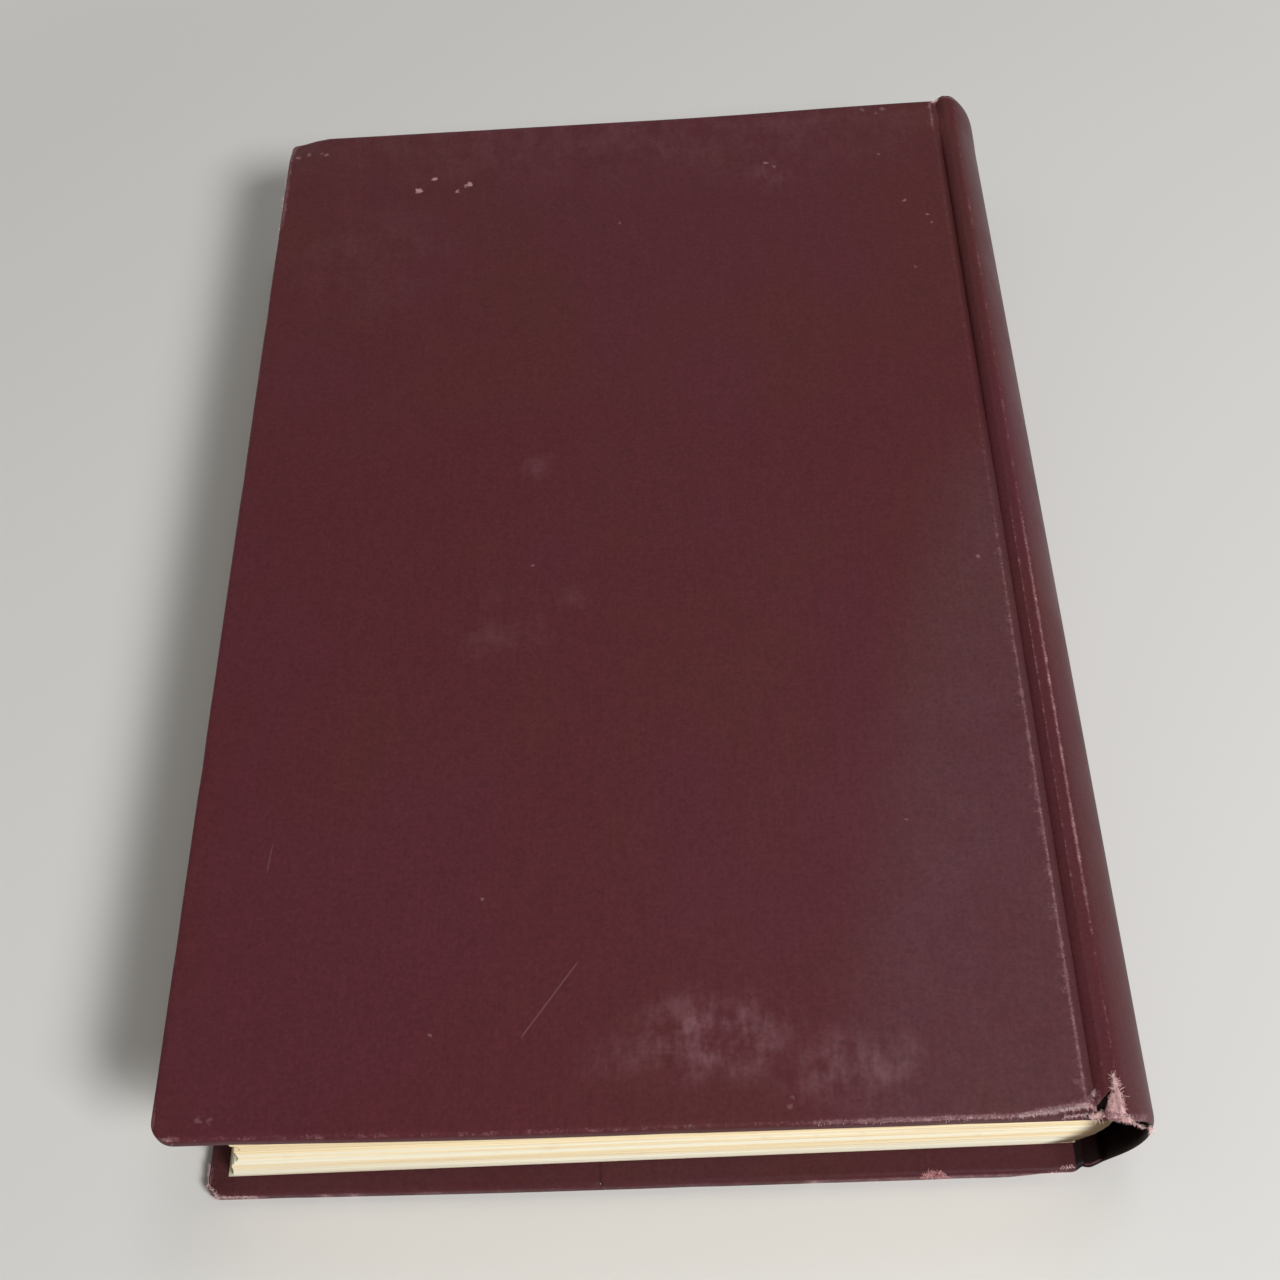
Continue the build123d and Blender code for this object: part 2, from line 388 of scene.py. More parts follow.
# loose threads where the cloth is torn, and the finer fuzz along its rubbed edges
frayTones = {
    "tornThread": {"pale": (0.94, 0.69, 0.67), "dyed": (0.70, 0.38, 0.37)},
    "redThread": {"pale": (0.70, 0.38, 0.39), "dyed": (0.50, 0.19, 0.20)},
    "rubbedThread": {"pale": (0.68, 0.50, 0.50), "dyed": (0.46, 0.30, 0.305)},
}
frayLook = {"dye": {"noise": (0.8, 2.0), "range": (0.45, 0.7, 0.0, 0.8)}, "roughness": 0.8}


def makeFrayThread(name):
    material, tree, shader = startMaterial(name)
    dyed = pattern(tree, objectPlace(tree), frayLook["dye"])
    color = blendColor(tree, dyed, frayTones[name]["pale"], frayTones[name]["dyed"])
    finishShader(tree, shader, color, frayLook["roughness"])
    return material


clothFinish = makeBookCloth()
pageFinish = makePageEdges()
leafFinish = makeEndLeaf()
cardFinishes = {name: makeCard(name) for name in cards}
frayFinishes = {name: makeFrayThread(name) for name in frayTones}
print("materials made")


# Pieces

def addObject(name, data):
    made = bpy.data.objects.new(name, data)
    bpy.context.scene.collection.objects.link(made)
    return made


# a mesh in millimetres becomes a piece, whose patterns keep to the places that it has at rest
def makePiece(bm, name, finish):
    place = bm.verts.layers.float_vector.new("restPlace")
    for vert in bm.verts:
        vert[place] = vert.co
    bmesh.ops.scale(bm, vec=(mm, mm, mm), verts=bm.verts)
    mesh = bpy.data.meshes.new(name)
    bm.to_mesh(mesh)
    bm.free()
    mesh.materials.append(finish)
    mesh.shade_smooth()
    piece = addObject(name, mesh)
    return piece


def thicken(piece, thick, offset):
    sheet = piece.modifiers.new("sheet", "SOLIDIFY")
    sheet.thickness = thick * mm
    sheet.offset = offset


def addLayers(bm, *names):
    return [bm.verts.layers.float.new(name) for name in names]


def makeBox(size, middle):
    bm = bmesh.new()
    bmesh.ops.create_cube(bm, size=1)
    bmesh.ops.scale(bm, vec=size, verts=bm.verts)
    bmesh.ops.translate(bm, vec=middle, verts=bm.verts)
    return bm


def roundEdges(bm, edges, offset, segments):
    bmesh.ops.bevel(bm, geom=edges, offset=offset, offset_type="OFFSET", segments=segments,
                    profile=0.5, affect="EDGES", material=-1)


def cutAcross(bm, axis, places):
    for place in places:
        point, normal = Vector(), Vector()
        point[axis] = place
        normal[axis] = 1
        everything = bm.verts[:] + bm.edges[:] + bm.faces[:]
        bmesh.ops.bisect_plane(bm, geom=everything, dist=tiny, plane_co=point, plane_no=normal)


def steps(start, end, step):
    count = max(1, round(abs(end - start) / step))
    return [mix(start, end, place / count) for place in range(count + 1)]


# places at the same distances from a cover's tail and head
def bothEnds(insets):
    return [way * (coverReach - inset) for way in (-1, 1) for inset in insets]


def openEdges(bm, x):
    return [
        edge for edge in bm.edges
        if edge.is_boundary and all(vert.co.x > x - tiny for vert in edge.verts)
    ]


def growEdges(bm, edges):
    grown = bmesh.ops.extrude_edge_only(bm, edges=edges)["geom"]
    verts = [part for part in grown if isinstance(part, bmesh.types.BMVert)]
    fresh = set(verts)
    edges = [part for part in grown if isinstance(part, bmesh.types.BMEdge) and fresh.issuperset(part.verts)]
    return verts, edges


# A cover lies in its own frame here: x from its fore-edge to the board's spine edge,
# y from tail to head and z from its outer face, at 0, down to its inner face.
coverCloth = {
    "thick": 3.06,  # board and cloth, without the endpaper
    "sheet": 0.2,
    "rimRound": 0.8, "rimSegments": 3, "cornerSegments": 8,
    "turnIn": 15.0,
    "noseLength": 1.65,  # the cloth's way from the board's edge down into the joint
    "noseDrop": 2.3, "noseCurve": 1.5, "noseTuck": 0.1, "noseSteps": 6,
    "grid": 2.5, "gridEnd": 3.0,
    "foreCuts": (1.5, 3.0, 6.0, 9.0, 12.0), "spineCut": 0.5,
    "endCuts": (1.5, 2.5, 4.0, 5.5, 7.0, 11.0),
    "creaseCuts": (-0.4, 0.0, 0.4), "creaseHalf": 0.1, "creaseTop": -0.5, "creaseDeep": 0.3,
    "dentSize": 0.09, "dentDeep": 0.16,
    "blendInset": 0.05,  # the cloth bends from just inside the board's edge
}
coverSides = {
    "back": {
        "foreX": backLow.x, "outerZ": bookThick, "up": 1, "headCorner": 1.3, "tailCorner": 3.6,
        "bump": {"drop": 1.2, "pull": 0.5, "start": 9.0, "full": 0.5, "across": 9.0},
        "tailBow": 0.6, "tailLoss": 1.4, "noseLoss": 0.0, "headFlare": 1.1,
        "rims": {"head": 0.36, "tail": 0.6, "fore": 0.3, "corner": 0.75, "joint": 0.55},
        "spots": [],
    },
    "front": {
        "foreX": frontLow.x, "outerZ": 0.0, "up": -1, "headCorner": 2.0, "tailCorner": 2.0,
        "bump": {"drop": 0.0, "pull": 0.3, "start": 9.0, "full": 2.0, "across": 8.0},
        "tailBow": 0.35, "tailLoss": 0.8, "noseLoss": 1.0, "headFlare": 0.3,
        "rims": {"head": 0.36, "tail": 0.6, "fore": 0.3, "corner": 0.85, "joint": 0.5},
        # rubbed through at the tail edge: place, half width and strength
        "spots": [
            (5.0, 8.0, 0.8), (19.9, 2.0, 0.95), (24.7, 2.0, 1.0), (38.9, 1.8, 0.9), (103.9, 1.8, 0.95),
            (123.2, 3.0, 0.6), (144.0, 3.2, 0.9),
        ],
        "crease": 67.2,  # a dent across the tail edge
    },
}
# the smooth pale band beside the spine, a painted sheen with some dust: its inner side at places along the
# cover, from tail to head
sheenBand = {
    "side": [(-118.0, 30.0), (-95.5, 33.0), (-70.5, 39.0), (-28.5, 49.0), (13.5, 61.0), (40.0, 70.0)],
    "soft": 9.0, "strength": 0.25, "end": (30.0, 0.0),
}


def sheenBandAt(x, y):
    places, soft = sheenBand["side"], sheenBand["soft"]
    sideX = places[0][1]
    for (lowY, lowX), (highY, highX) in zip(places, places[1:]):
        if y > lowY:
            sideX = mix(lowX, highX, (y - lowY) / (highY - lowY))
    return sheenBand["strength"] * ease(x, sideX - soft, sideX + soft) * ease(y, *sheenBand["end"])


# a rise between two distances from the head
def towardsHead(y, distances):
    return ease(y, coverReach - distances[0], coverReach - distances[1])


# the joints are shallow towards the tail, and at the head, where the turned-in cloth fills them
jointForm = {"tail": 0.45, "head": 0.68, "along": (-10.0, 60.0), "fill": 0.6, "fillAlong": (14.0, 6.0)}


def jointDepth(y):
    deep = mix(jointForm["tail"], jointForm["head"], ease(y, *jointForm["along"]))
    return deep - jointForm["fill"] * towardsHead(y, jointForm["fillAlong"])


def coverSlab(side, inset, thick, rimRound):
    size = (coverWidth - inset, 2 * (coverReach - inset), thick)
    bm = makeBox(size, ((coverWidth + inset) / 2, 0, -inset - thick / 2))
    for headward, corner in ((1, side["headCorner"]), (-1, side["tailCorner"])):
        upright = [
            edge for edge in bm.edges
            if all(vert.co.x < inset + tiny and vert.co.y * headward > 0 for vert in edge.verts)
        ]
        roundEdges(bm, upright, corner - inset, coverCloth["cornerSegments"])
    rims = [
        edge for edge in bm.edges
        if abs(edge.verts[0].co.z - edge.verts[1].co.z) < tiny
        and min(vert.co.x for vert in edge.verts) < coverWidth - tiny
    ]
    roundEdges(bm, rims, rimRound, coverCloth["rimSegments"])
    return bm


# how far from the edges a cover has lost its shape
coverLoss = {
    "pullAcross": 5.0, "bowAlong": 60.0, "flareAlong": 60.0, "endAcross": 14.0,
    "lossAlong": (12.0, 1.0), "lossDepth": (-2.4, -0.2), "noseStart": 0.5, "lossAcross": 6.0,
}


# how a cover has lost its shape: the knocked corner at the head of the fore-edge,
# the bowed tail edge, the flared head and the loss at the spine end of the tail
def settleCover(bm, side):
    bump, loss = side["bump"], coverLoss
    for vert in bm.verts:
        x, fromHead, fromTail = vert.co.x, coverReach - vert.co.y, coverReach + vert.co.y
        inX = ease(x, bump["start"], bump["full"])
        vert.co.z -= bump["drop"] * inX * ease(fromHead, bump["across"], 0.0)
        vert.co.y -= bump["pull"] * inX * ease(fromHead, loss["pullAcross"], 0.0)
        bow = side["tailBow"] * ease(x, 0.0, loss["bowAlong"])
        vert.co.y -= bow * ease(fromTail, loss["endAcross"], 0.0)
        flare = side["headFlare"] * ease(x, coverWidth - loss["flareAlong"], coverWidth)
        vert.co.y += flare * ease(fromHead, loss["endAcross"], 0.0)
        start, end = [coverWidth - inset for inset in loss["lossAlong"]]
        rounded = ease(x, start, end) * ease(fromTail, loss["lossAcross"], 0.0)
        vert.co.y += side["tailLoss"] * rounded * ease(vert.co.z, *loss["lossDepth"])
        pastBoard = ease(x, coverWidth - loss["noseStart"], coverWidth + coverCloth["noseLength"])
        vert.co.y += side["noseLoss"] * pastBoard * ease(fromTail, loss["lossAcross"], 0.0)


# from a cover's own frame to its place in the book
def toBook(bm, side):
    place = Matrix.Translation((side["foreX"], 0, side["outerZ"]))
    if side["up"] < 0:
        place = place @ Matrix.Scale(-1, 4, (0, 0, 1))
        bmesh.ops.reverse_faces(bm, faces=bm.faces)
    bm.transform(place)


# where the edges are rubbed: distances from them, heights, and the slope of the cloth there
rimRub = {
    "tailGain": (0.6, 1.2), "tailAlong": (98.0, 118.0), "tailBand": (1.25, 0.3),
    "tailSlope": (0.1, 0.45), "tailHeight": (-2.9, -2.0),
    "headCorner": (9.0, 2.0), "tailCorner": (9.0, 3.0), "spineCorner": (9.0, 1.0), "spineGain": 1.1,
    "dotted": 0.85, "dottedAcross": (3.0, 1.5), "dottedAlong": (36.0, 26.0),  # down the back's fore-edge
    "slope": (0.45, 0.85), "band": (1.3, 0.3), "dottedBand": (1.8, 0.6),
    "tip": 0.6, "tipReach": (4.0, 1.5), "tipSlope": (0.4, 0.8),
    "spotCore": 0.5, "spotBand": (1.6, 0.8),
}


# how far each edge of a cover is rubbed
def rimWear(side, vert):
    rims, rub = side["rims"], rimRub
    x, fromHead, fromTail = vert.co.x, coverReach - vert.co.y, coverReach + vert.co.y
    nearest = min(fromHead, fromTail, x)
    if nearest == fromTail:
        amount = rims["tail"] * mix(*rub["tailGain"], ease(x, *rub["tailAlong"]))
    elif nearest == fromHead:
        amount = rims["head"]
    else:
        amount = rims["fore"]
    dotted = 0.0
    if side["up"] > 0:
        dotted = rub["dotted"] * ease(x, *rub["dottedAcross"]) * ease(fromHead, *rub["dottedAlong"])
    corner = max(
        ease(math.hypot(x, fromHead), *rub["headCorner"]), ease(math.hypot(x, fromTail), *rub["tailCorner"]),
        dotted, rub["spineGain"] * ease(max(coverWidth - x, fromTail), *rub["spineCorner"]),
    )
    if nearest == fromTail and side["up"] > 0:
        edge = ease(vert.normal.z, *rub["tailSlope"]) * ease(nearest, *rub["tailBand"])
    elif nearest == fromTail:
        edge = ease(vert.co.z, *rub["tailHeight"]) * ease(nearest, *rub["tailBand"])
    else:
        outer, inner = [mix(plain, wide, dotted) for plain, wide in zip(rub["band"], rub["dottedBand"])]
        edge = ease(abs(vert.normal.z), *rub["slope"]) * ease(nearest, outer, inner)
    tip = rub["tip"] * ease(math.hypot(x, fromHead), *rub["tipReach"])
    tip *= ease(vert.normal.z, *rub["tipSlope"])
    worn = max(edge * max(amount, rims["corner"] * corner), tip)
    low = ease(fromTail, *rub["spotBand"]) * ease(vert.co.z, *rub["tailHeight"])
    for place, half, strength in side["spots"]:
        worn = max(worn, strength * ease(abs(x - place), half, rub["spotCore"] * half) * low)
    return worn


# the flat sheet round a board, open over its inner side, and the nose:
# the cloth that goes on past the board, down into the joint
def coverSheet(side):
    thick, turnIn = coverCloth["thick"], coverCloth["turnIn"]
    bm = coverSlab(side, 0.0, thick, coverCloth["rimRound"])
    spineEnd = [face for face in bm.faces if face.calc_center_median().x > coverWidth - tiny]
    bmesh.ops.delete(bm, geom=spineEnd, context="FACES_ONLY")
    reach = coverReach - turnIn
    cutAcross(bm, 0, steps(turnIn, coverWidth - coverCloth["gridEnd"], coverCloth["grid"]))
    cutAcross(bm, 0, [*coverCloth["foreCuts"], coverWidth - coverCloth["spineCut"]])
    cutAcross(bm, 1, steps(-reach, reach, coverCloth["grid"]) + bothEnds(coverCloth["endCuts"]))
    if "crease" in side:
        cutAcross(bm, 0, [side["crease"] + gap for gap in coverCloth["creaseCuts"]])
    window = []
    for face in bm.faces:
        x, y, z = face.calc_center_median()
        if z < -thick + tiny and x > turnIn and abs(y) < reach:
            window.append(face)
    bmesh.ops.delete(bm, geom=window, context="FACES")
    seam = openEdges(bm, coverWidth)
    for step in range(coverCloth["noseSteps"]):
        verts, seam = growEdges(bm, seam)
        bmesh.ops.translate(bm, vec=(coverCloth["noseLength"] / coverCloth["noseSteps"], 0, 0), verts=verts)
    return bm


# wear, dust, painted shade and painted sheen elsewhere on the cover's cloth
coverWear = {
    # the inner, crease and nose amounts are painted shade
    "innerReach": (0.6, 0.1), "innerShade": 0.3, "innerVeil": 0.12,
    "tailStrip": 0.6, "tailVeil": (0.1, 0.35), "tailAlong": (9.0, 3.0),
    "creaseShade": 0.6,
    "jointInset": 0.1, "jointHalf": 0.7, "jointDepth": (-0.6, -0.1),
    "jointGain": (0.62, 1.4), "jointTail": (40.0, -60.0), "jointHead": (12.0, 6.0),
    "outerDepth": -0.9, "patchCore": 0.25,
    "noseShade": 0.4, "noseStart": (0.0, 0.3), "noseDark": (-0.3, -0.7), "noseDepth": (-0.8, -0.2),
    "noseTail": 0.5, "noseTailAlong": (5.5, 2.0), "noseHead": 0.55, "noseHeadAlong": (2.5, 0.8),
}
# mottled pale places on the back cover: place, half width, half height and strength
hazePatches = [
    (10.0, -103.0, 17.0, 10.0, 1.0), (32.0, -109.0, 18.0, 8.0, 0.75), (-4.0, -106.0, 10.0, 6.0, 0.35),
    (0.0, 119.0, 130.0, 30.0, 0.2), (-27.0, -21.8, 14.0, 10.0, 0.22), (-21.2, 15.7, 3.6, 4.2, 0.42),
    (-14.5, -16.5, 5.0, 3.4, 0.27), (30.0, 97.0, 9.0, 7.0, 0.3), (-58.0, 78.0, 26.0, 26.0, 0.12),
]


def wearCover(bm, side):
    look, rims, thick = coverWear, side["rims"], coverCloth["thick"]
    wear, fade, paintedShade, dustAndPaintedLight = addLayers(bm, "wear", "fade", "paintedShade", "dustAndPaintedLight")
    weave = bm.verts.layers.float_vector.new("weave")
    innerStart, innerEnd = [gap - thick for gap in look["innerReach"]]
    tailStart, tailEnd = [coverWidth - inset for inset in look["tailAlong"]]
    reach = coverReach - coverCloth["turnIn"]
    bm.normal_update()
    for vert in bm.verts:
        x, y, z = vert.co
        inner = ease(z, innerStart, innerEnd)
        vert[wear] = rimWear(side, vert)
        # painted shade, and some dust, on the inner side of the turned-in cloth
        vert[paintedShade] = look["innerShade"] * inner
        vert[dustAndPaintedLight] = look["innerVeil"] * inner
        if y < look["tailStrip"] - coverReach:
            vert[dustAndPaintedLight] = mix(*look["tailVeil"], ease(x, tailStart, tailEnd))
        onCrease = "crease" in side and abs(x - side["crease"]) < coverCloth["creaseHalf"]
        if onCrease and y < -reach and z < coverCloth["creaseTop"]:
            vert.co.y += coverCloth["creaseDeep"] * ease(y, -reach, -coverReach)
            # painted shade in the crease
            vert[paintedShade] = look["creaseShade"]
        vert[weave] = (x + z, y - math.copysign(z, y), 0)
        along = max(0.0, (x - coverWidth) / coverCloth["noseLength"])
        atEdge = max(0.0, 1 - abs(x - coverWidth + look["jointInset"]) / look["jointHalf"])
        atEdge *= ease(z, *look["jointDepth"])
        tailward = max(ease(y, *look["jointTail"]), towardsHead(y, look["jointHead"]))
        vert[wear] = max(vert[wear], rims["joint"] * atEdge * mix(*look["jointGain"], tailward))
        if side["up"] > 0 and z > look["outerDepth"]:
            # the pale band beside the spine is a painted sheen, with some dust
            vert[dustAndPaintedLight] = sheenBandAt(x + side["foreX"], y)
            for patchX, patchY, halfX, halfY, strength in hazePatches:
                far = math.hypot((x + side["foreX"] - patchX) / halfX, (y - patchY) / halfY)
                vert[fade] = max(vert[fade], strength * ease(far, 1.0, look["patchCore"]))
        if along > 0:
            # painted shade on the nose: down its slope into the groove, and near black on its inner side in
            # the joint
            dark = ease(z, *[share * thick for share in look["noseDark"]])
            vert[paintedShade] = max(look["noseShade"] * ease(along, *look["noseStart"]) * jointDepth(y), dark)
            atEnd = max(look["noseTail"] * towardsHead(-y, look["noseTailAlong"]),
                        look["noseHead"] * towardsHead(y, look["noseHeadAlong"]))
            vert[wear] = max(vert[wear], atEnd * ease(z, *look["noseDepth"]))
            outer = -coverCloth["noseDrop"] * jointDepth(y) * along ** coverCloth["noseCurve"]
            vert.co.z = mix(outer, -thick + coverCloth["noseTuck"] * along, -z / thick)
        elif z < -tiny:
            dent = noise.noise(Vector((x, y, 0)) * coverCloth["dentSize"]) * coverCloth["dentDeep"]
            vert.co += Vector((-vert.normal.x, -vert.normal.y, 0)) * max(dent, 0.0)


def makeCoverCloth(name):
    side = coverSides[name]
    bm = coverSheet(side)
    wearCover(bm, side)
    settleCover(bm, side)
    toBook(bm, side)
    piece = makePiece(bm, f"{name}CoverCloth", clothFinish)
    thicken(piece, coverCloth["sheet"], -1)
    if name == "back":
        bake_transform(piece)
    else:
        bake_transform(piece)
    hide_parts(f"{name}_cover_cloth")


coverBoard = {
    "inset": 0.35, "thick": 2.5, "rimRound": 0.3,
    "foreCuts": (2.0, 4.0, 7.0, 10.0, 13.0, 16.0, 30.0, 45.0, 60.0, 90.0, 120.0),
    "spineCuts": (2.0, 4.0, 6.0, 8.0, 11.0),
    "endCuts": (2.0, 4.0, 7.0, 10.0, 14.0, 50.0),
}


def makeBoard(name):
    side = coverSides[name]
    bm = coverSlab(side, coverBoard["inset"], coverBoard["thick"], coverBoard["rimRound"])
    cutAcross(bm, 0, coverBoard["foreCuts"])
    cutAcross(bm, 0, [coverWidth - inset for inset in coverBoard["spineCuts"]])
    cutAcross(bm, 1, bothEnds(coverBoard["endCuts"]))
    settleCover(bm, side)
    toBook(bm, side)
    piece = makePiece(bm, f"{name}Board", cardFinishes["binderBoard"])
    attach(piece, f"{name}_cover")
    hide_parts(f"{name}_board")


for coverName in coverSides:
    makeCoverCloth(coverName)
    makeBoard(coverName)
print("covers made")

# The sewn pages: one block, rounded at the back and hollow at the fore-edge,
# with a layer for every few leaves
pageBlock = {
    "layer": 0.22,
    # the fore-edge: height and place, from the front endpaper up
    "fore": [
        (3.4, -72.9), (8.3, -72.4), (10.6, -71.2), (12.8, -70.2),
        (18.3, -70.0), (22.0, -69.4), (25.0, -69.7), (27.6, -71.0),
    ],
    "backTop": 65.55, "backBottom": 67.55, "backRound": 7.2,
    "seed": 11,
    "ragged": 0.09,  # single leaves
    "section": 0.16,  # folded sections, of several leaves each
    "sectionLayers": 9,
    "endRagged": 0.6, "waver": 0.05, "waverSize": (9, 2.0),  # at head and tail
    "slipFore": -0.3, "slipSpine": 0.9,  # the block has slipped towards the head at its back
    # leaves with a lost corner
    "nickLow": 16.2, "nickHigh": 18.4, "nickDeep": 1.2, "nickWide": 0.012, "nickAlong": (3.0, 0.5),
    # cuts as shares of the width, and along the height
    "widthCuts": (0.008, 0.016, 0.04, 0.12, 0.25, 0.4, 0.55, 0.7, 0.85, 0.93, 0.955, 0.97, 0.985),
    "grid": 14.0, "tailCuts": (1.2, 3.0),
    # glue stain with painted shade at the back, and painted shadow high in its back corner
    "glueAndShade": (0.955, 0.995), "paintedShadow": (0.965, 0.985), "paintedShadowHeight": (17.0, 20.0),  # at the back
    "paleLeaves": (4.2, 1.4),  # above the lowest leaf
    "sharpAngle": 40,
}


# towards the head, more so at the spine
def slipAt(share):
    return mix(pageBlock["slipFore"], pageBlock["slipSpine"], share)


def foreEdge(z):
    places = pageBlock["fore"]
    for (lowZ, lowX), (highZ, highX) in zip(places, places[1:]):
        if z <= highZ:
            return mix(lowX, highX, ease(z, lowZ, highZ))
    return places[-1][1]


# how far the rounded back stands out, at a height from the middle of the pages
def backArc(height, half):
    rise = pageBlock["backRound"]
    radius = (half * half + rise * rise) / (2 * rise)
    return rise - radius + math.sqrt(radius * radius - height * height)


def makePages():
    look, chance = pageBlock, random.Random(pageBlock["seed"])
    low, high, reach = pagesLow.z, pagesHigh.z, pagesHigh.y
    bm = makeBox((1, 2 * reach, high - low), (0.5, 0, (low + high) / 2))
    cutAcross(bm, 2, steps(low, high, look["layer"])[1:-1])
    cutAcross(bm, 0, look["widthCuts"])
    cutAcross(bm, 1, steps(-reach, reach, look["grid"])[1:-1])
    cutAcross(bm, 1, [inset - reach for inset in look["tailCuts"]])
    glueAndShade, pale = addLayers(bm, "glueAndShade", "pale")
    count = round((high - low) / look["layer"])
    leaf = [chance.uniform(-1, 1) for layer in range(count + 1)]
    section = [chance.uniform(-1, 1) for layer in range(count // look["sectionLayers"] + 2)]
    for vert in bm.verts:
        x, y, z = vert.co
        rise = (z - low) / (high - low)
        layer = min(count, max(0, round(rise * count)))
        fore = foreEdge(z)
        back = mix(look["backBottom"], look["backTop"], rise)
        back += backArc(z - (low + high) / 2, (high - low) / 2)
        rough = look["ragged"] * leaf[layer] + look["section"] * section[layer // look["sectionLayers"]]
        if 0 < layer < count:
            fore += rough if x < tiny else 0.0
            if look["nickLow"] < z < look["nickHigh"] and x < look["nickWide"]:
                fore += look["nickDeep"] * ease(y + reach, *look["nickAlong"])
            sizeX, sizeZ = look["waverSize"]
            waver = noise.noise(Vector((x * sizeX, z * sizeZ, 0))) * look["waver"]
            if abs(y) > reach - tiny:
                vert.co.y += math.copysign(rough * look["endRagged"] + waver, y)
        vert.co.x = mix(fore, back, x)
        vert.co.y += slipAt(x)
        # glue stain with painted shade towards the back, and painted shadow in the upper back corner
        vert[glueAndShade] = ease(x, *look["glueAndShade"]) + ease(x, *look["paintedShadow"]) * ease(z, *look["paintedShadowHeight"])
        vert[pale] = ease(z, *[low + height for height in look["paleLeaves"]])
    piece = makePiece(bm, "textBlock", pageFinish)
    piece.data.set_sharp_from_angle(angle=math.radians(look["sharpAngle"]))
    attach(piece, "book_block")
    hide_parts("text_block")


makePages()
print("pages made")

# Each endpaper is one folded sheet: a flyleaf on the pages, a fold at the joint
# and a half that is pasted to the board
endPaper = {
    "pasted": -3.14, "free": -3.36,  # heights in the cover's frame
    "sheet": 0.1,
    "pastedFore": 3.6, "freeFore": 5.7,
    "fold": 0.4,  # past the board's spine edge
    "foldSteps": 14,
    "columns": 48, "rows": 33, "pastedStep": 3.0,
    "sink": 0.16, "sinkFold": 4,  # the pasted half sinks inside the turned-in cloth
    "sinkReach": (-1.0, 2.0),  # from the end of that cloth
    # glue stain with painted shade along the fold, and a darker painted shade near the tail
    "glueAndShade": 0.75, "glueAndShadeReach": (3.5, 0.2), "tailShadeReach": (7.0, 2.0),  # from the fold
    "tailShade": (-110.0, -113.5),
    "blendGap": 0.02,
}


def makeEndpaper(name):
    side, look = coverSides[name], endPaper
    foldX = coverWidth + look["fold"]
    radius, middle = (look["pasted"] - look["free"]) / 2, (look["pasted"] + look["free"]) / 2
    bm = bmesh.new()
    bmesh.ops.create_grid(bm, x_segments=look["columns"], y_segments=look["rows"], size=0.5)
    bmesh.ops.scale(bm, vec=(foldX - look["freeFore"], 2 * pagesHigh.y, 1), verts=bm.verts)
    bmesh.ops.translate(bm, vec=((foldX + look["freeFore"]) / 2, 0, look["free"]), verts=bm.verts)
    seam = openEdges(bm, foldX)
    for step in range(1, look["foldSteps"] + 1):
        turn = math.pi * step / look["foldSteps"]
        verts, seam = growEdges(bm, seam)
        for vert in verts:
            vert.co.x = foldX + radius * math.sin(turn)
            vert.co.z = middle - radius * math.cos(turn)
    for x in steps(foldX, look["pastedFore"], look["pastedStep"])[1:]:
        verts, seam = growEdges(bm, seam)
        for vert in verts:
            vert.co.x = x
    glueAndShade = addLayers(bm, "glueAndShade")[0]
    glueAndShadeReach, tailReach = [[foldX - gap for gap in look[key]] for key in ("glueAndShadeReach", "tailShadeReach")]
    sinkReach = [coverCloth["turnIn"] + gap for gap in look["sinkReach"]]
    for vert in bm.verts:
        # painted shade near the tail, and glue stain with painted shade along the fold
        atTail = ease(vert.co.x, *tailReach) * ease(vert.co.y, *look["tailShade"])
        vert[glueAndShade] = max(look["glueAndShade"] * ease(vert.co.x, *glueAndShadeReach), atTail)
        vert.co.y += slipAt(vert.co.x / coverWidth)
        if vert.co.z > look["pasted"] - tiny:
            inside = min(vert.co.x, coverReach - abs(vert.co.y))
            sunk = look["sink"] * ease(inside, *sinkReach)
            vert.co.z += sunk * ease(vert.co.x, foldX, foldX - look["sinkFold"])
    bmesh.ops.recalc_face_normals(bm, faces=bm.faces)
    toBook(bm, side)
    piece = makePiece(bm, f"{name}Endpaper", leafFinish)
    thicken(piece, look["sheet"], 0)
    if name == "back":
        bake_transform(piece)
    else:
        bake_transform(piece)
    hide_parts(f"{name}_endpaper", f"{name}_pastedown")


for coverName in coverSides:
    makeEndpaper(coverName)
print("endpapers made")

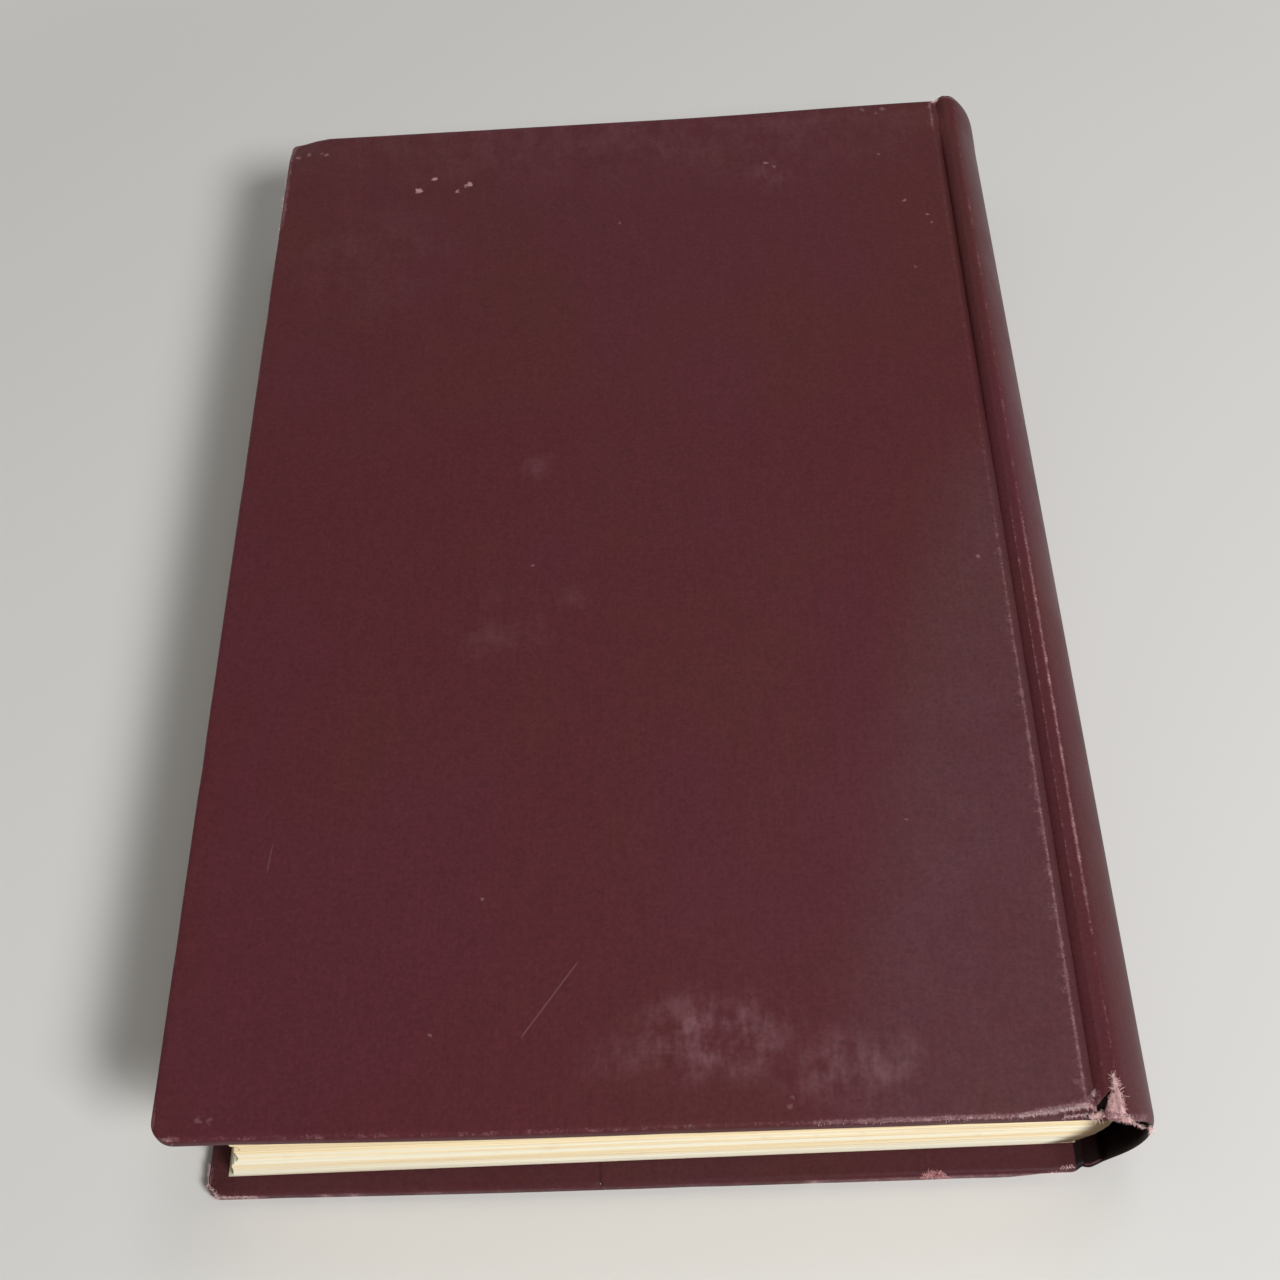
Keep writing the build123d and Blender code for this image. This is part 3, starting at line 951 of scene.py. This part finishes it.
# The spine's cloth, from the back joint round to the front joint, turned in at head and tail
spineCloth = {
    "sheet": 0.3,
    "joint": 5.2,  # from a board's edge to the ridge of the spine
    "landStart": 1.35,  # just under the end of the cover's cloth
    "landDepth": 2.55, "landCurve": 4.0, "landSteps": 14,
    "foldShare": 0.5, "foldWidth": 0.09, "foldLift": 0.08,  # the fold along the joint
    "ridgeDrop": 0.3, "ridgeSoft": 4,
    "arcSteps": 30,
    "roundTail": 6.9, "roundHead": 4.8,
    "fullTail": 2.25, "fullHead": 3.3,
    "pastTail": 1.3, "pastHead": 1.4,  # past the boards' ends
    "headSwell": {1: 0.1, -1: 1.1},  # at the front joint and at the back joint
    "swellAlong": (9.0, 1.0), "swellAcross": (-0.05, 0.4),
    # at the tail the front half of the spine ends sooner, its joint a little less so
    "tailSlip": 3.1, "jointSlip": 0.9,
    "slipShare": (0.05, 0.5), "jointSlipShare": (0.95, 1.35), "slipStart": -98.0,
    "turnIn": 16.0, "tailLip": 2.2, "headLip": 1.5,  # the turned-in ends
    "lipEdge": 0.35, "lipEdgeSteps": (-2, 6), "lipFront": 0.55, "lipFrontSteps": (4, 16),
    # the bend of the lips: distance from the end, share of the lip and painted shade
    "bend": [
        (1.8, 1.0, 1.0), (0.9, 0.95, 1.0), (0.3, 0.78, 0.8), (0.0, 0.5, 0.4),
        (0.25, 0.24, 0.1), (0.8, 0.07, 0.0), (1.6, 0.0, 0.0),
    ],
    # stations between the ends: distances from them and step, closer near the tear and the swollen head
    "tailGrid": (2.0, 8.7, 0.4), "midGrid": (12.0, 10.0, 4.0), "headGrid": (9.0, 2.4, 0.8),
    "turnInStart": 3.0, "turnInStep": 2.0,
}


# from under the cover's cloth up to the ridge of the spine
def jointLand(boardX, outerZ, inward, y):
    look, points = spineCloth, []
    swell = look["headSwell"][inward] * towardsHead(y, look["swellAlong"])
    crease = look["landDepth"] * jointDepth(y)
    for step in range(look["landSteps"] + 1):
        share = step / look["landSteps"]
        x = boardX + mix(look["landStart"], look["joint"], share)
        depth = mix(look["ridgeDrop"], crease, (1 - share) ** look["landCurve"])
        depth -= look["foldLift"] * math.exp(-((share - look["foldShare"]) / look["foldWidth"]) ** 2)
        depth -= swell * ease(share, *look["swellAcross"])
        points.append(Vector((x, 0, outerZ + inward * depth)))
    return points


# a round bend instead of a sharp ridge
def softenRidge(points, ridge):
    soft = spineCloth["ridgeSoft"]
    first, corner, last = points[ridge - soft].copy(), points[ridge].copy(), points[ridge + soft].copy()
    for place in range(ridge - soft + 1, ridge + soft):
        share = (place - ridge + soft) / (2 * soft)
        points[place] = first.lerp(corner, share).lerp(corner.lerp(last, share), share)


# the spine's section at a place along it, moved inward by an offset
def spineProfile(y, offset):
    look, ridge = spineCloth, spineCloth["landSteps"]
    share = (y + coverReach) / (2 * coverReach)
    bulge = mix(look["roundTail"], look["roundHead"], share)
    full = mix(look["fullTail"], look["fullHead"], share)
    points = jointLand(backHigh.x, bookThick, -1, y)
    last = jointLand(frontHigh.x, 0.0, 1, y)[::-1]
    first, end = points[-1], last[0]
    for step in range(1, look["arcSteps"]):
        way = (1 - math.cos(math.pi * step / look["arcSteps"])) / 2
        point = first.lerp(end, way)
        point.x += bulge * (1 - abs(2 * way - 1) ** full)
        points.append(point)
    points += last
    for turn in range(2):
        softenRidge(points, ridge)
        points.reverse()
    inner = []
    for place, point in enumerate(points):
        before, after = points[max(place - 1, 0)], points[min(place + 1, len(points) - 1)]
        along = (after - before).normalized()
        inside = min(place, len(points) - 1 - place)
        here = offset * mix(look["lipEdge"], 1.0, ease(inside - ridge, *look["lipEdgeSteps"]))
        if y < 0:
            here *= mix(1.0, look["lipFront"], ease(place - ridge, *look["lipFrontSteps"]))
        inner.append(Vector((point.x + along.z * here, y, point.z - along.x * here)))
    return inner


# a place at a distance inside an end of the spine
def inFrom(end, distance):
    return end - math.copysign(distance, end)


# each station: its place along the spine, how far the cloth is turned in there and how much painted shade it
# has
def spineStations():
    look = spineCloth
    tail, head = -coverReach - look["pastTail"], coverReach + look["pastHead"]
    plain = []
    for grid, first, last in (("tailGrid", tail, tail), ("midGrid", tail, head), ("headGrid", head, head)):
        start, end, step = look[grid]
        plain += steps(inFrom(first, start), inFrom(last, end), step)
    inside = steps(head - look["turnInStart"], head - look["turnIn"], look["turnInStep"])
    stations = [(tail + look["turnIn"], look["tailLip"], 1.0)]
    stations += [(tail + inset, look["tailLip"] * share, paintedShade) for inset, share, paintedShade in look["bend"]]
    stations += [(y, 0.0, 0.0) for y in plain]
    stations += [(head - inset, look["headLip"] * share, paintedShade) for inset, share, paintedShade in look["bend"][::-1]]
    return stations + [(y, look["headLip"], 1.0) for y in inside]


# wear, dust, painted light and painted shade of the spine's cloth
spineWear = {
    # in steps from the ridge and from the fold: amounts, or an amount with its range
    "ridge": {0: 0.75, -1: 0.45, 1: 0.4}, "fold": {0: 0.5, 1: 0.2},
    # the ridge and the round are paler: partly dust and faded cloth, partly painted light that keeps the
    # round bright where it turns away from the lamp
    "ridgeDustAndLight": (0.14, -1, 3), "roundDustAndLight": (0.25, 2, 10), "roundFade": (0.4, 4, 12),
    # along the spine: rubbed most below the middle and round the tear, faded most towards the head
    "quiet": 0.5, "quietHead": (-15.0, 15.0), "quietTail": (-75.0, -90.0),
    "faded": (0.2, 0.9), "fadedAlong": (-45.0, 5.0), "headFaded": 0.9, "headFadedAlong": (35.0, 85.0),
    "tail": 0.5, "tailAlong": (1.0, -1.0), "tailHeight": (16.0, 25.0), "head": 0.6, "headHalf": 0.6,
    # shares of the way round, from ridge to ridge
    # painted shade in the front half of the round, inside the hollow, and on the lands
    "frontShade": (1.0, 2.3), "frontShare": (0.35, 0.6),
    "landShade": 0.1, "landShare": (0.52, 0.6), "landAlong": (-20.0, -60.0),
}


# grown from its first station, with the wear that follows the ridges
def spineSheet(bm, order, wear, fade, paintedShade, dustAndPaintedLight):
    look, ridge = spineWear, spineCloth["landSteps"]
    stations = spineStations()
    profile = spineProfile(*stations[0][:2])
    fold = round(spineCloth["foldShare"] * ridge)
    rubbed = {ridge + gap: amount for gap, amount in look["ridge"].items()}
    rubbed.update({fold + gap: amount for gap, amount in look["fold"].items()})
    rubbed.update({len(profile) - 1 - place: amount for place, amount in rubbed.items()})
    row = []
    for place, point in enumerate(profile):
        vert = bm.verts.new(point)
        inside = min(place, len(profile) - 1 - place) - ridge
        onRidge, onRound, paled = [
            amount * ease(inside, start, end)
            for amount, start, end in (look["ridgeDustAndLight"], look["roundDustAndLight"], look["roundFade"])
        ]
        vert[order] = place
        vert[wear] = rubbed.get(place, 0.0)
        # dust and painted light on the ridge and the round
        vert[dustAndPaintedLight] = onRidge + onRound
        vert[fade] = paled
        vert[paintedShade] = 1.0
        row.append(vert)
    seam = [bm.edges.new(pair) for pair in zip(row, row[1:])]
    for station in stations[1:]:
        verts, seam = growEdges(bm, seam)
        profile = spineProfile(*station[:2])
        for vert in verts:
            vert.co = profile[vert[order]]
            # painted shade on the turned-in ends, inside the hollow
            vert[paintedShade] = station[2]
    bm.normal_update()
    middle = [face for face in bm.faces if abs(face.calc_center_median().y) < coverReach / 2]
    if sum(face.normal.x for face in middle) < 0:
        bmesh.ops.reverse_faces(bm, faces=bm.faces)
        bm.normal_update()


# the tear at the tail of the back joint, and the bared cloth round it
spineTear = {
    "start": (68.1, -117.6), "tip": (70.8, -114.0), "width": 0.95, "margin": 2,
    "along": (-112.0, -117.0), "half": (0.6, 2.0), "middleX": (71.55, 70.9), "top": (-111.0, -112.5),
    "crease": 0.6, "creaseX": (69.8, 68.8), "creaseAlong": (-111.0, -115.0),
    "bared": 0.8, "height": (26.0, 28.0),
}


# wear that changes along the spine, and the tail end that has slipped
def wearSpine(bm, order, wear, fade, paintedShade, dustAndPaintedLight):
    look, tear = spineWear, spineTear
    weave = bm.verts.layers.float_vector.new("weave")
    length = [0.0]
    outline = spineProfile(0.0, 0.0)
    for first, second in zip(outline, outline[1:]):
        length.append(length[-1] + (second - first).length)
    for vert in bm.verts:
        x, y, z = vert.co
        vert[weave] = (length[vert[order]], y, 0)
        vert[wear] *= mix(1.0, look["quiet"], max(ease(y, *look["quietHead"]), ease(y, *look["quietTail"])))
        faded = mix(*look["faded"], ease(y, *look["fadedAlong"]))
        faded += look["headFaded"] * ease(y, *look["headFadedAlong"])
        vert[dustAndPaintedLight] *= faded
        vert[fade] *= faded
        tailStart, tailEnd = [gap - coverReach for gap in look["tailAlong"]]
        atTail = look["tail"] * ease(y, tailStart, tailEnd) * ease(z, *look["tailHeight"])
        atHead = look["head"] * ease(y, coverReach - look["headHalf"], coverReach + look["headHalf"])
        down = ease(y, *tear["along"])
        half = mix(*tear["half"], down)
        atTear = ease(abs(x - mix(*tear["middleX"], down)), half, half / 2) * ease(y, *tear["top"])
        atCrease = tear["crease"] * ease(x, *tear["creaseX"]) * ease(y, *tear["creaseAlong"])
        bared = tear["bared"] * max(atTear, atCrease) * ease(z, *tear["height"])
        vert[wear] = max(vert[wear], atTail, atHead, bared)
        share = (vert[order] - spineCloth["landSteps"]) / spineCloth["arcSteps"]  # from ridge to ridge
        # painted shade, deeper in the front half of the round inside the hollow, and a little on the lands
        vert[paintedShade] = min(1.0, vert[paintedShade] * mix(*look["frontShade"], ease(share, *look["frontShare"])))
        onLand = max(ease(abs(share - 0.5), *look["landShare"]), ease(y, *look["landAlong"]))
        vert[paintedShade] = max(vert[paintedShade], look["landShade"] * onLand)
        slip = spineCloth["tailSlip"] * ease(share, *spineCloth["slipShare"])
        slip -= spineCloth["jointSlip"] * ease(share, *spineCloth["jointSlipShare"])
        vert.co.y += slip * ease(y, spineCloth["slipStart"], -coverReach)


def upperFaces(bm):
    return [face for face in bm.faces if face.calc_center_median().z > bookThick / 2]


# the cloth is cut along the two sides of the tear, and what lies between them goes
def cutTear(bm):
    start, tip = Vector(spineTear["start"]), Vector(spineTear["tip"])
    across = (tip - start).orthogonal().normalized()
    inward = []
    for way in (-1, 1):
        side = (tip - start - across * way * spineTear["width"]).orthogonal().normalized()
        inward.append(side if side.dot(across) * way < 0 else -side)
        near = [face for face in upperFaces(bm) if face.calc_center_median().y < tip.y + spineTear["margin"]]
        parts = [part for face in near for part in face.edges[:] + face.verts[:]]
        bmesh.ops.bisect_plane(bm, geom=near + list(dict.fromkeys(parts)), dist=tiny,
                               plane_co=(*tip, 0), plane_no=(*inward[-1], 0))
    torn = [
        face for face in upperFaces(bm)
        if all((face.calc_center_median().xy - tip).dot(side) > 0 for side in inward)
    ]
    bmesh.ops.delete(bm, geom=torn, context="FACES")


def makeSpineCloth():
    bm = bmesh.new()
    layers = [bm.verts.layers.int.new("order"), *addLayers(bm, "wear", "fade", "paintedShade", "dustAndPaintedLight")]
    spineSheet(bm, *layers)
    wearSpine(bm, *layers)
    cutTear(bm)
    piece = makePiece(bm, "spineCloth", clothFinish)
    thicken(piece, spineCloth["sheet"], -1)
    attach(piece, "book_block")
    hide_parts("spine_cloth")


makeSpineCloth()
print("spine made")

# Loose threads where the cloth is torn or rubbed through.
# Each tuft: first and last root, number of threads, direction, spread and length.
frayTufts = {
    "tearThreads": {
        "body": "book_block", "tone": "tornThread",
        "tufts": [
            ((71.4, -112.2, 30.6), (72.0, -117.6, 30.6), 330, (-0.1, -0.5, 0.35), 1.0, (0.4, 1.5)),
            ((70.9, -114.8, 30.6), (70.6, -117.4, 30.4), 300, (0.1, -0.4, 0.4), 1.0, (0.3, 1.2)),
            ((69.6, -117.4, 30.1), (73.0, -118.8, 29.9), 420, (0.1, -0.4, 0.4), 1.0, (0.4, 1.3)),
            ((71.2, -111.8, 30.6), (71.7, -113.6, 30.6), 60, (0.1, 0.6, 0.4), 1.0, (0.4, 1.2)),
            ((72.6, -118.6, 29.8), (75.6, -118.8, 26.8), 60, (0.2, -0.9, 0.2), 0.8, (0.2, 0.8)),
            ((67.0, -118.2, 29.8), (69.3, -117.7, 30.2), 130, (0.6, 0.1, 0.3), 0.8, (0.4, 1.3)),
            ((77.8, -117.0, 21.5), (78.6, -116.3, 17.5), 70, (0.6, -0.7, 0.0), 0.9, (0.3, 1.3)),
            ((66.9, 117.4, 30.9), (68.4, 117.9, 31.2), 60, (-0.1, 0.4, 0.5), 1.0, (0.2, 0.7)),
        ],
    },
    "backTailThreads": {
        "body": "back_cover", "tone": "rubbedThread",
        "tufts": [
            ((25.0, -117.9, 30.6), (57.0, -117.9, 30.6), 170, (0.0, -0.5, 0.4), 1.0, (0.15, 0.45)),
            ((56.0, -117.7, 30.75), (62.0, -117.2, 30.85), 260, (0.1, -0.5, 0.3), 1.0, (0.2, 0.7)),
            ((61.0, -117.2, 30.75), (66.4, -116.6, 30.85), 300, (0.1, -0.5, 0.3), 1.0, (0.2, 0.7)),
            ((66.5, -116.8, 30.5), (68.2, -113.8, 30.2), 150, (0.1, -0.5, 0.5), 1.0, (0.2, 0.8)),
            ((63.0, -117.8, 29.8), (67.0, -117.4, 29.6), 120, (0.1, -0.6, 0.2), 1.0, (0.2, 0.7)),
        ],
    },
    "backCornerThreads": {
        "body": "back_cover", "tone": "tornThread",
        "tufts": [
            ((-79.2, -114.6, 30.2), (-76.0, -117.3, 30.2), 70, (-0.5, -0.6, 0.1), 0.9, (0.15, 0.5)),
            ((-79.4, 113.0, 29.5), (-78.0, 116.0, 29.4), 70, (-0.6, 0.3, 0.4), 0.9, (0.15, 0.5)),
            ((-79.6, 101.5, 30.4), (-79.6, 105.0, 30.4), 45, (-0.6, 0.1, 0.5), 0.9, (0.15, 0.5)),
            ((-79.6, 95.5, 30.4), (-79.6, 99.0, 30.4), 40, (-0.6, 0.1, 0.5), 0.9, (0.15, 0.5)),
            ((-79.6, 84.0, 30.4), (-79.6, 91.0, 30.4), 45, (-0.6, 0.1, 0.5), 0.9, (0.15, 0.45)),
        ],
    },
    "frontTailThreads": {
        "body": "front_cover", "tone": "tornThread",
        "tufts": [
            ((64.5, -117.6, 2.4), (68.6, -117.1, 2.1), 200, (0.2, -0.4, 0.4), 1.0, (0.2, 0.7)),
            ((64.8, -117.5, 1.6), (68.4, -117.0, 1.4), 130, (0.2, -0.4, 0.3), 1.0, (0.2, 0.7)),
            ((66.0, -117.3, 3.0), (68.3, -117.1, 3.0), 60, (0.2, -0.4, 0.5), 1.0, (0.2, 0.5)),
        ],
    },
    "frontSpotThreads": {
        "body": "front_cover", "tone": "redThread",
        "tufts": [
            ((44.2, -117.3, 3.0), (46.4, -117.3, 3.0), 90, (0.0, -0.2, 0.5), 1.0, (0.2, 0.7)),
            ((43.4, -117.6, 2.8), (47.2, -117.6, 2.7), 200, (0.0, -0.4, 0.4), 1.0, (0.2, 0.7)),
            ((43.0, -117.8, 2.2), (47.8, -117.8, 2.0), 200, (0.0, -0.4, 0.3), 1.0, (0.2, 0.6)),
        ],
    },
    "frontCornerThreads": {
        "body": "front_cover", "tone": "rubbedThread",
        "tufts": [
            ((-77.6, -115.4, 2.8), (-75.8, -117.3, 2.8), 170, (-0.3, -0.3, 0.5), 1.0, (0.2, 0.7)),
            ((-77.7, -115.4, 2.0), (-75.8, -117.5, 1.8), 170, (-0.4, -0.4, 0.3), 1.0, (0.2, 0.7)),
            ((-76.0, -117.45, 2.5), (-69.0, -117.5, 2.2), 220, (-0.1, -0.3, 0.4), 1.0, (0.2, 0.6)),
            ((-77.75, -112.0, 2.6), (-77.7, -115.8, 2.2), 110, (-0.5, -0.1, 0.4), 1.0, (0.2, 0.6)),
        ],
    },
}
frayThread = {
    "thick": 0.06, "tip": 0.45,  # the tip's share of the thickness
    "parts": 4, "rootSpread": 0.12, "bend": 0.4,
    "lowest": 0.1,  # none goes into the floor
}


def makeFray(name):
    look, chance = frayThread, random.Random(name)

    def shake(size):
        return Vector([chance.gauss(0, size) for axis in range(3)])

    curve = bpy.data.curves.new(name, "CURVE")
    curve.dimensions = "3D"
    curve.bevel_depth = look["thick"] / 2 * mm
    curve.bevel_resolution = 0
    curve.use_fill_caps = True
    for first, last, count, heading, spread, (shortest, longest) in frayTufts[name]["tufts"]:
        for thread in range(count):
            point = Vector(first).lerp(Vector(last), chance.random())
            point += shake(look["rootSpread"])
            way = (Vector(heading) + shake(spread / 2)).normalized()
            stride = chance.uniform(shortest, longest) / look["parts"]
            line = curve.splines.new("POLY")
            line.points.add(look["parts"])
            for place, spot in enumerate(line.points):
                spot.co = (*(point * mm), 1)
                spot.radius = mix(1.0, look["tip"], place / look["parts"])
                way = (way + shake(look["bend"])).normalized()
                point = point + way * stride
                point.z = max(point.z, look["lowest"])
    holder = addObject(name + "Line", curve)
    bpy.context.view_layer.update()
    mesh = bpy.data.meshes.new_from_object(holder.evaluated_get(bpy.context.evaluated_depsgraph_get()))
    bpy.data.objects.remove(holder)
    mesh.name = name
    mesh.materials.clear()
    mesh.materials.append(frayFinishes[frayTufts[name]["tone"]])
    piece = addObject(name, mesh)
    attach(piece, frayTufts[name]["body"])


for frayName in frayTufts:
    makeFray(frayName)
print("threads made")

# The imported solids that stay
for node, card in {"spine_lining": "spineLining", "spine_inlay": "spineCardPaintedShade"}.items():
    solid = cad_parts[node]
    solid.data.materials.clear()
    solid.data.materials.append(cardFinishes[card])

# Stage: floor, light and the photograph's camera
stageLook = {
    "floorColor": (0.62, 0.61, 0.59),
    "floorHalf": 3.0, "floorDrop": 0.05, "floorRough": 0.9,
    "backdrop": (0.66, 0.65, 0.63),
    "nearFloor": 0.2, "farFloor": 0.5,  # the lit floor passes into the backdrop between these
    "world": (0.22, 0.22, 0.22),
}
# direction, distance, size and power
stageLamps = {
    "keyLamp": ((0.47, -0.55, 0.69), 1.3, 0.34, 16.6),
    "sheenLamp": ((0.2, 0.28, 0.94), 1.3, 0.45, 2.0),
}


# one where a ray from the camera, or its reflection, meets the backdrop
def seenDirectly(tree):
    path = addNode(tree, "ShaderNodeLightPath")
    seen = calc(tree, "MAXIMUM", path.outputs["Is Camera Ray"], path.outputs["Is Glossy Ray"])
    return calc(tree, "MAXIMUM", seen, path.outputs["Is Transmission Ray"])


def makeFloor():
    bm = bmesh.new()
    bmesh.ops.create_grid(bm, x_segments=1, y_segments=1, size=stageLook["floorHalf"])
    bmesh.ops.translate(bm, vec=(0, 0, -stageLook["floorDrop"] * mm), verts=bm.verts)
    mesh = bpy.data.meshes.new("floor")
    bm.to_mesh(mesh)
    bm.free()
    material, tree, shader = startMaterial("floor")
    finishShader(tree, shader, opaque(stageLook["floorColor"]), stageLook["floorRough"], 0.0)
    away = vectorCalc(tree, "LENGTH", addNode(tree, "ShaderNodeTexCoord").outputs["Object"])
    far = ramp(tree, away, stageLook["nearFloor"], stageLook["farFloor"])
    glow = addNode(tree, "ShaderNodeEmission", {"Color": opaque(stageLook["backdrop"])}).outputs[0]
    share = times(tree, far, seenDirectly(tree))
    both = addNode(tree, "ShaderNodeMixShader", {0: share, 1: shader.outputs[0], 2: glow}).outputs[0]
    tree.links.new(both, tree.nodes["Material Output"].inputs["Surface"])
    mesh.materials.append(material)
    floor = addObject("floor", mesh)


def makeLamp(name, way, far, size, power):
    lamp = bpy.data.lights.new(name, "AREA")
    lamp.energy = power
    lamp.size = size
    holder = addObject(name, lamp)
    holder.location = Vector(way).normalized() * far
    holder.rotation_euler = Vector(way).to_track_quat("Z", "Y").to_euler()


def makeWorld():
    world = bpy.data.worlds.new("studio")
    world.use_nodes = True
    tree = world.node_tree
    color = blendColor(tree, seenDirectly(tree), stageLook["world"], stageLook["backdrop"])
    tree.links.new(color, tree.nodes["Background"].inputs["Color"])
    bpy.context.scene.world = world


photoCamera = {
    "place": (13.293, -211.226, 302.328),
    "aim": (-1.025, -26.41, 31.0),
    "roll": -6.23,  # degrees
    "focal": 1790.0,  # in pixels of the photograph
    "frame": 1280.0,
    "sensor": 36.0,
    "clipStart": 0.01,
}


def makeCamera():
    camera = bpy.data.cameras.new("camera")
    camera.sensor_width = photoCamera["sensor"]
    camera.lens = camera.sensor_width * photoCamera["focal"] / photoCamera["frame"]
    camera.clip_start = photoCamera["clipStart"]
    holder = addObject("camera", camera)
    place, aim = Vector(photoCamera["place"]) * mm, Vector(photoCamera["aim"]) * mm
    turn = (aim - place).to_track_quat("-Z", "Y") @ Quaternion((0, 0, 1), math.radians(photoCamera["roll"]))
    holder.location = place
    holder.rotation_mode = "QUATERNION"
    holder.rotation_quaternion = turn
    bpy.context.scene.camera = holder


makeFloor()
for lampName, lampSetting in stageLamps.items():
    makeLamp(lampName, *lampSetting)
makeWorld()
makeCamera()
bpy.context.scene.view_settings.view_transform = "Standard"
print("stage made")

bpy.context.view_layer.update()
